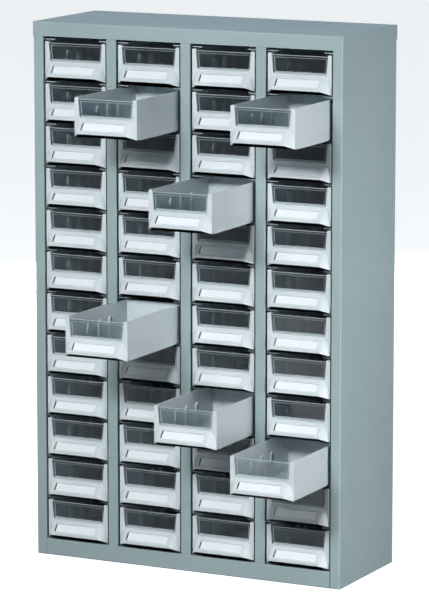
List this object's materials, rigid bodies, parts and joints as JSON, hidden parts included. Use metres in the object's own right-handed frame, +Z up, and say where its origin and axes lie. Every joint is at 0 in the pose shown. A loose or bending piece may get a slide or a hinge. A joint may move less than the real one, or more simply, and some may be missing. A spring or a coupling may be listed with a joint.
{
  "type": "parts organizer",
  "caption": "Free-standing folded steel cabinet that holds rows and columns of sliding plastic drawers, each with a clear window, a sloping label face and a finger pocket.",
  "frame": {"origin": "middle of the cabinet's underside, on the surface that it stands on", "axes": "+Z up, front and drawer handles towards -Y, +X to the right as seen from the front"},
  "size_m": [0.586, 0.4235, 0.937],
  "materials": {
    "painted_steel": "satin powder coat",
    "ledge_steel": "satin powder coat",
    "drawer_plastic": "injection moulded, satin",
    "window_plastic": "clear, polished",
    "label_card": "smooth white card"
  },
  "bodies": {
    "cabinet": {"top_cap": "painted_steel", "left_side_panel": "painted_steel", "right_side_panel": "painted_steel", "back_panel": "painted_steel", "base_pan": "painted_steel", "upright_1": "painted_steel", "upright_2": "painted_steel", "upright_3": "painted_steel", "ledges_col1": "ledge_steel", "ledges_col2": "ledge_steel", "ledges_col3": "ledge_steel", "ledges_col4": "ledge_steel"},
    "drawer_row01_col1": {"drawer_row01_col1": "drawer_plastic"},
    "drawer_row01_col2": {"drawer_row01_col2": "drawer_plastic"},
    "drawer_row01_col3": {"drawer_row01_col3": "drawer_plastic"},
    "drawer_row01_col4": {"drawer_row01_col4": "drawer_plastic"},
    "drawer_row02_col1": {"drawer_row02_col1": "drawer_plastic"},
    "drawer_row02_col2": {"drawer_row02_col2": "drawer_plastic"},
    "drawer_row02_col3": {"drawer_row02_col3": "drawer_plastic"},
    "drawer_row02_col4": {"drawer_row02_col4": "drawer_plastic"},
    "drawer_row03_col1": {"drawer_row03_col1": "drawer_plastic"},
    "drawer_row03_col2": {"drawer_row03_col2": "drawer_plastic"},
    "drawer_row03_col3": {"drawer_row03_col3": "drawer_plastic"},
    "drawer_row03_col4": {"drawer_row03_col4": "drawer_plastic"},
    "drawer_row04_col1": {"drawer_row04_col1": "drawer_plastic"},
    "drawer_row04_col2": {"drawer_row04_col2": "drawer_plastic"},
    "drawer_row04_col3": {"drawer_row04_col3": "drawer_plastic"},
    "drawer_row04_col4": {"drawer_row04_col4": "drawer_plastic"},
    "drawer_row05_col1": {"drawer_row05_col1": "drawer_plastic"},
    "drawer_row05_col2": {"drawer_row05_col2": "drawer_plastic"},
    "drawer_row05_col3": {"drawer_row05_col3": "drawer_plastic"},
    "drawer_row05_col4": {"drawer_row05_col4": "drawer_plastic"},
    "drawer_row06_col1": {"drawer_row06_col1": "drawer_plastic"},
    "drawer_row06_col2": {"drawer_row06_col2": "drawer_plastic"},
    "drawer_row06_col3": {"drawer_row06_col3": "drawer_plastic"},
    "drawer_row06_col4": {"drawer_row06_col4": "drawer_plastic"},
    "drawer_row07_col1": {"drawer_row07_col1": "drawer_plastic"},
    "drawer_row07_col2": {"drawer_row07_col2": "drawer_plastic"},
    "drawer_row07_col3": {"drawer_row07_col3": "drawer_plastic"},
    "drawer_row07_col4": {"drawer_row07_col4": "drawer_plastic"},
    "drawer_row08_col1": {"drawer_row08_col1": "drawer_plastic"},
    "drawer_row08_col2": {"drawer_row08_col2": "drawer_plastic"},
    "drawer_row08_col3": {"drawer_row08_col3": "drawer_plastic"},
    "drawer_row08_col4": {"drawer_row08_col4": "drawer_plastic"},
    "drawer_row09_col1": {"drawer_row09_col1": "drawer_plastic"},
    "drawer_row09_col2": {"drawer_row09_col2": "drawer_plastic"},
    "drawer_row09_col3": {"drawer_row09_col3": "drawer_plastic"},
    "drawer_row09_col4": {"drawer_row09_col4": "drawer_plastic"},
    "drawer_row10_col1": {"drawer_row10_col1": "drawer_plastic"},
    "drawer_row10_col2": {"drawer_row10_col2": "drawer_plastic"},
    "drawer_row10_col3": {"drawer_row10_col3": "drawer_plastic"},
    "drawer_row10_col4": {"drawer_row10_col4": "drawer_plastic"},
    "drawer_row11_col1": {"drawer_row11_col1": "drawer_plastic"},
    "drawer_row11_col2": {"drawer_row11_col2": "drawer_plastic"},
    "drawer_row11_col3": {"drawer_row11_col3": "drawer_plastic"},
    "drawer_row11_col4": {"drawer_row11_col4": "drawer_plastic"},
    "drawer_row12_col1": {"drawer_row12_col1": "drawer_plastic"},
    "drawer_row12_col2": {"drawer_row12_col2": "drawer_plastic"},
    "drawer_row12_col3": {"drawer_row12_col3": "drawer_plastic"},
    "drawer_row12_col4": {"drawer_row12_col4": "drawer_plastic"}
  },
  "joints": [
    {"name": "drawer_row01_col1_slide", "type": "slide", "parent": "cabinet", "child": "drawer_row01_col1", "axis": [0, -1, 0], "range_m": [0, 0.195]},
    {"name": "drawer_row01_col2_slide", "type": "slide", "parent": "cabinet", "child": "drawer_row01_col2", "axis": [0, -1, 0], "range_m": [0, 0.195]},
    {"name": "drawer_row01_col3_slide", "type": "slide", "parent": "cabinet", "child": "drawer_row01_col3", "axis": [0, -1, 0], "range_m": [0, 0.195]},
    {"name": "drawer_row01_col4_slide", "type": "slide", "parent": "cabinet", "child": "drawer_row01_col4", "axis": [0, -1, 0], "range_m": [0, 0.195]},
    {"name": "drawer_row02_col1_slide", "type": "slide", "parent": "cabinet", "child": "drawer_row02_col1", "axis": [0, -1, 0], "range_m": [0, 0.195]},
    {"name": "drawer_row02_col2_slide", "type": "slide", "parent": "cabinet", "child": "drawer_row02_col2", "axis": [0, -1, 0], "range_m": [-0.154, 0.041]},
    {"name": "drawer_row02_col3_slide", "type": "slide", "parent": "cabinet", "child": "drawer_row02_col3", "axis": [0, -1, 0], "range_m": [0, 0.195]},
    {"name": "drawer_row02_col4_slide", "type": "slide", "parent": "cabinet", "child": "drawer_row02_col4", "axis": [0, -1, 0], "range_m": [-0.14, 0.055]},
    {"name": "drawer_row03_col1_slide", "type": "slide", "parent": "cabinet", "child": "drawer_row03_col1", "axis": [0, -1, 0], "range_m": [0, 0.195]},
    {"name": "drawer_row03_col2_slide", "type": "slide", "parent": "cabinet", "child": "drawer_row03_col2", "axis": [0, -1, 0], "range_m": [0, 0.195]},
    {"name": "drawer_row03_col3_slide", "type": "slide", "parent": "cabinet", "child": "drawer_row03_col3", "axis": [0, -1, 0], "range_m": [0, 0.195]},
    {"name": "drawer_row03_col4_slide", "type": "slide", "parent": "cabinet", "child": "drawer_row03_col4", "axis": [0, -1, 0], "range_m": [0, 0.195]},
    {"name": "drawer_row04_col1_slide", "type": "slide", "parent": "cabinet", "child": "drawer_row04_col1", "axis": [0, -1, 0], "range_m": [0, 0.195]},
    {"name": "drawer_row04_col2_slide", "type": "slide", "parent": "cabinet", "child": "drawer_row04_col2", "axis": [0, -1, 0], "range_m": [0, 0.195]},
    {"name": "drawer_row04_col3_slide", "type": "slide", "parent": "cabinet", "child": "drawer_row04_col3", "axis": [0, -1, 0], "range_m": [-0.159, 0.036]},
    {"name": "drawer_row04_col4_slide", "type": "slide", "parent": "cabinet", "child": "drawer_row04_col4", "axis": [0, -1, 0], "range_m": [0, 0.195]},
    {"name": "drawer_row05_col1_slide", "type": "slide", "parent": "cabinet", "child": "drawer_row05_col1", "axis": [0, -1, 0], "range_m": [0, 0.195]},
    {"name": "drawer_row05_col2_slide", "type": "slide", "parent": "cabinet", "child": "drawer_row05_col2", "axis": [0, -1, 0], "range_m": [0, 0.195]},
    {"name": "drawer_row05_col3_slide", "type": "slide", "parent": "cabinet", "child": "drawer_row05_col3", "axis": [0, -1, 0], "range_m": [0, 0.195]},
    {"name": "drawer_row05_col4_slide", "type": "slide", "parent": "cabinet", "child": "drawer_row05_col4", "axis": [0, -1, 0], "range_m": [0, 0.195]},
    {"name": "drawer_row06_col1_slide", "type": "slide", "parent": "cabinet", "child": "drawer_row06_col1", "axis": [0, -1, 0], "range_m": [0, 0.195]},
    {"name": "drawer_row06_col2_slide", "type": "slide", "parent": "cabinet", "child": "drawer_row06_col2", "axis": [0, -1, 0], "range_m": [0, 0.195]},
    {"name": "drawer_row06_col3_slide", "type": "slide", "parent": "cabinet", "child": "drawer_row06_col3", "axis": [0, -1, 0], "range_m": [0, 0.195]},
    {"name": "drawer_row06_col4_slide", "type": "slide", "parent": "cabinet", "child": "drawer_row06_col4", "axis": [0, -1, 0], "range_m": [0, 0.195]},
    {"name": "drawer_row07_col1_slide", "type": "slide", "parent": "cabinet", "child": "drawer_row07_col1", "axis": [0, -1, 0], "range_m": [0, 0.195]},
    {"name": "drawer_row07_col2_slide", "type": "slide", "parent": "cabinet", "child": "drawer_row07_col2", "axis": [0, -1, 0], "range_m": [-0.19, 0.005]},
    {"name": "drawer_row07_col3_slide", "type": "slide", "parent": "cabinet", "child": "drawer_row07_col3", "axis": [0, -1, 0], "range_m": [0, 0.195]},
    {"name": "drawer_row07_col4_slide", "type": "slide", "parent": "cabinet", "child": "drawer_row07_col4", "axis": [0, -1, 0], "range_m": [0, 0.195]},
    {"name": "drawer_row08_col1_slide", "type": "slide", "parent": "cabinet", "child": "drawer_row08_col1", "axis": [0, -1, 0], "range_m": [0, 0.195]},
    {"name": "drawer_row08_col2_slide", "type": "slide", "parent": "cabinet", "child": "drawer_row08_col2", "axis": [0, -1, 0], "range_m": [0, 0.195]},
    {"name": "drawer_row08_col3_slide", "type": "slide", "parent": "cabinet", "child": "drawer_row08_col3", "axis": [0, -1, 0], "range_m": [0, 0.195]},
    {"name": "drawer_row08_col4_slide", "type": "slide", "parent": "cabinet", "child": "drawer_row08_col4", "axis": [0, -1, 0], "range_m": [0, 0.195]},
    {"name": "drawer_row09_col1_slide", "type": "slide", "parent": "cabinet", "child": "drawer_row09_col1", "axis": [0, -1, 0], "range_m": [0, 0.195]},
    {"name": "drawer_row09_col2_slide", "type": "slide", "parent": "cabinet", "child": "drawer_row09_col2", "axis": [0, -1, 0], "range_m": [0, 0.195]},
    {"name": "drawer_row09_col3_slide", "type": "slide", "parent": "cabinet", "child": "drawer_row09_col3", "axis": [0, -1, 0], "range_m": [-0.142, 0.053]},
    {"name": "drawer_row09_col4_slide", "type": "slide", "parent": "cabinet", "child": "drawer_row09_col4", "axis": [0, -1, 0], "range_m": [0, 0.195]},
    {"name": "drawer_row10_col1_slide", "type": "slide", "parent": "cabinet", "child": "drawer_row10_col1", "axis": [0, -1, 0], "range_m": [0, 0.195]},
    {"name": "drawer_row10_col2_slide", "type": "slide", "parent": "cabinet", "child": "drawer_row10_col2", "axis": [0, -1, 0], "range_m": [0, 0.195]},
    {"name": "drawer_row10_col3_slide", "type": "slide", "parent": "cabinet", "child": "drawer_row10_col3", "axis": [0, -1, 0], "range_m": [0, 0.195]},
    {"name": "drawer_row10_col4_slide", "type": "slide", "parent": "cabinet", "child": "drawer_row10_col4", "axis": [0, -1, 0], "range_m": [-0.14, 0.055]},
    {"name": "drawer_row11_col1_slide", "type": "slide", "parent": "cabinet", "child": "drawer_row11_col1", "axis": [0, -1, 0], "range_m": [0, 0.195]},
    {"name": "drawer_row11_col2_slide", "type": "slide", "parent": "cabinet", "child": "drawer_row11_col2", "axis": [0, -1, 0], "range_m": [0, 0.195]},
    {"name": "drawer_row11_col3_slide", "type": "slide", "parent": "cabinet", "child": "drawer_row11_col3", "axis": [0, -1, 0], "range_m": [0, 0.195]},
    {"name": "drawer_row11_col4_slide", "type": "slide", "parent": "cabinet", "child": "drawer_row11_col4", "axis": [0, -1, 0], "range_m": [0, 0.195]},
    {"name": "drawer_row12_col1_slide", "type": "slide", "parent": "cabinet", "child": "drawer_row12_col1", "axis": [0, -1, 0], "range_m": [0, 0.195]},
    {"name": "drawer_row12_col2_slide", "type": "slide", "parent": "cabinet", "child": "drawer_row12_col2", "axis": [0, -1, 0], "range_m": [0, 0.195]},
    {"name": "drawer_row12_col3_slide", "type": "slide", "parent": "cabinet", "child": "drawer_row12_col3", "axis": [0, -1, 0], "range_m": [0, 0.195]},
    {"name": "drawer_row12_col4_slide", "type": "slide", "parent": "cabinet", "child": "drawer_row12_col4", "axis": [0, -1, 0], "range_m": [0, 0.195]}
  ]
}
